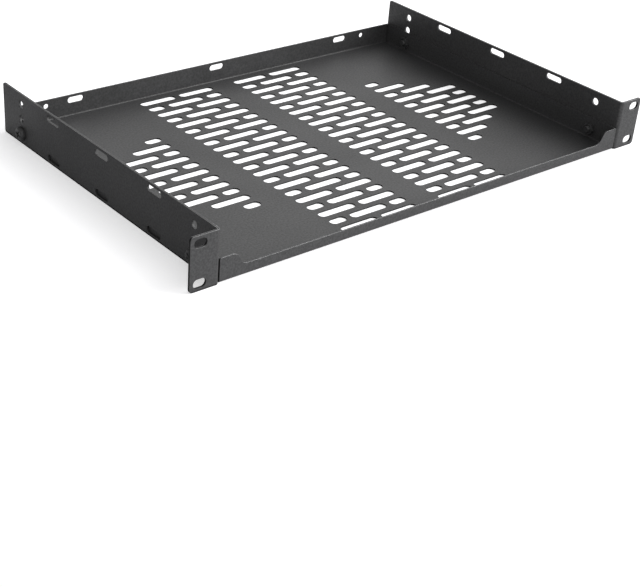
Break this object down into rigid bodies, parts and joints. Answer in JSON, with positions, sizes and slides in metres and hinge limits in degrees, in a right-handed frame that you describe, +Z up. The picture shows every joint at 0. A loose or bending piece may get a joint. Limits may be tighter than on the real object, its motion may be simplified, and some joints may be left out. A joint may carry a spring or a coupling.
{
  "type": "cantilever rack shelf",
  "caption": "Rack shelf: a perforated, folded sheet-steel tray screwed between folded side brackets, whose slotted front ears bolt to a 19-inch rack.",
  "frame": {"origin": "centre of the four ear slots, on the ears' back face, which bears on the rack's rails", "axes": "X to the right across the rack, Y from front to back into the rack, Z up; the tray's open side faces up"},
  "size_m": [0.4826, 0.3, 0.044],
  "materials": {
    "powder_coat": "fine-textured black powder coat",
    "screw_steel": "black oxide steel",
    "nut_steel": "black oxide steel"
  },
  "bodies": {
    "root": {"tray": "powder_coat", "left_bracket": "powder_coat", "right_bracket": "powder_coat", "screws": "screw_steel", "nuts": "nut_steel"}
  },
  "joints": []
}
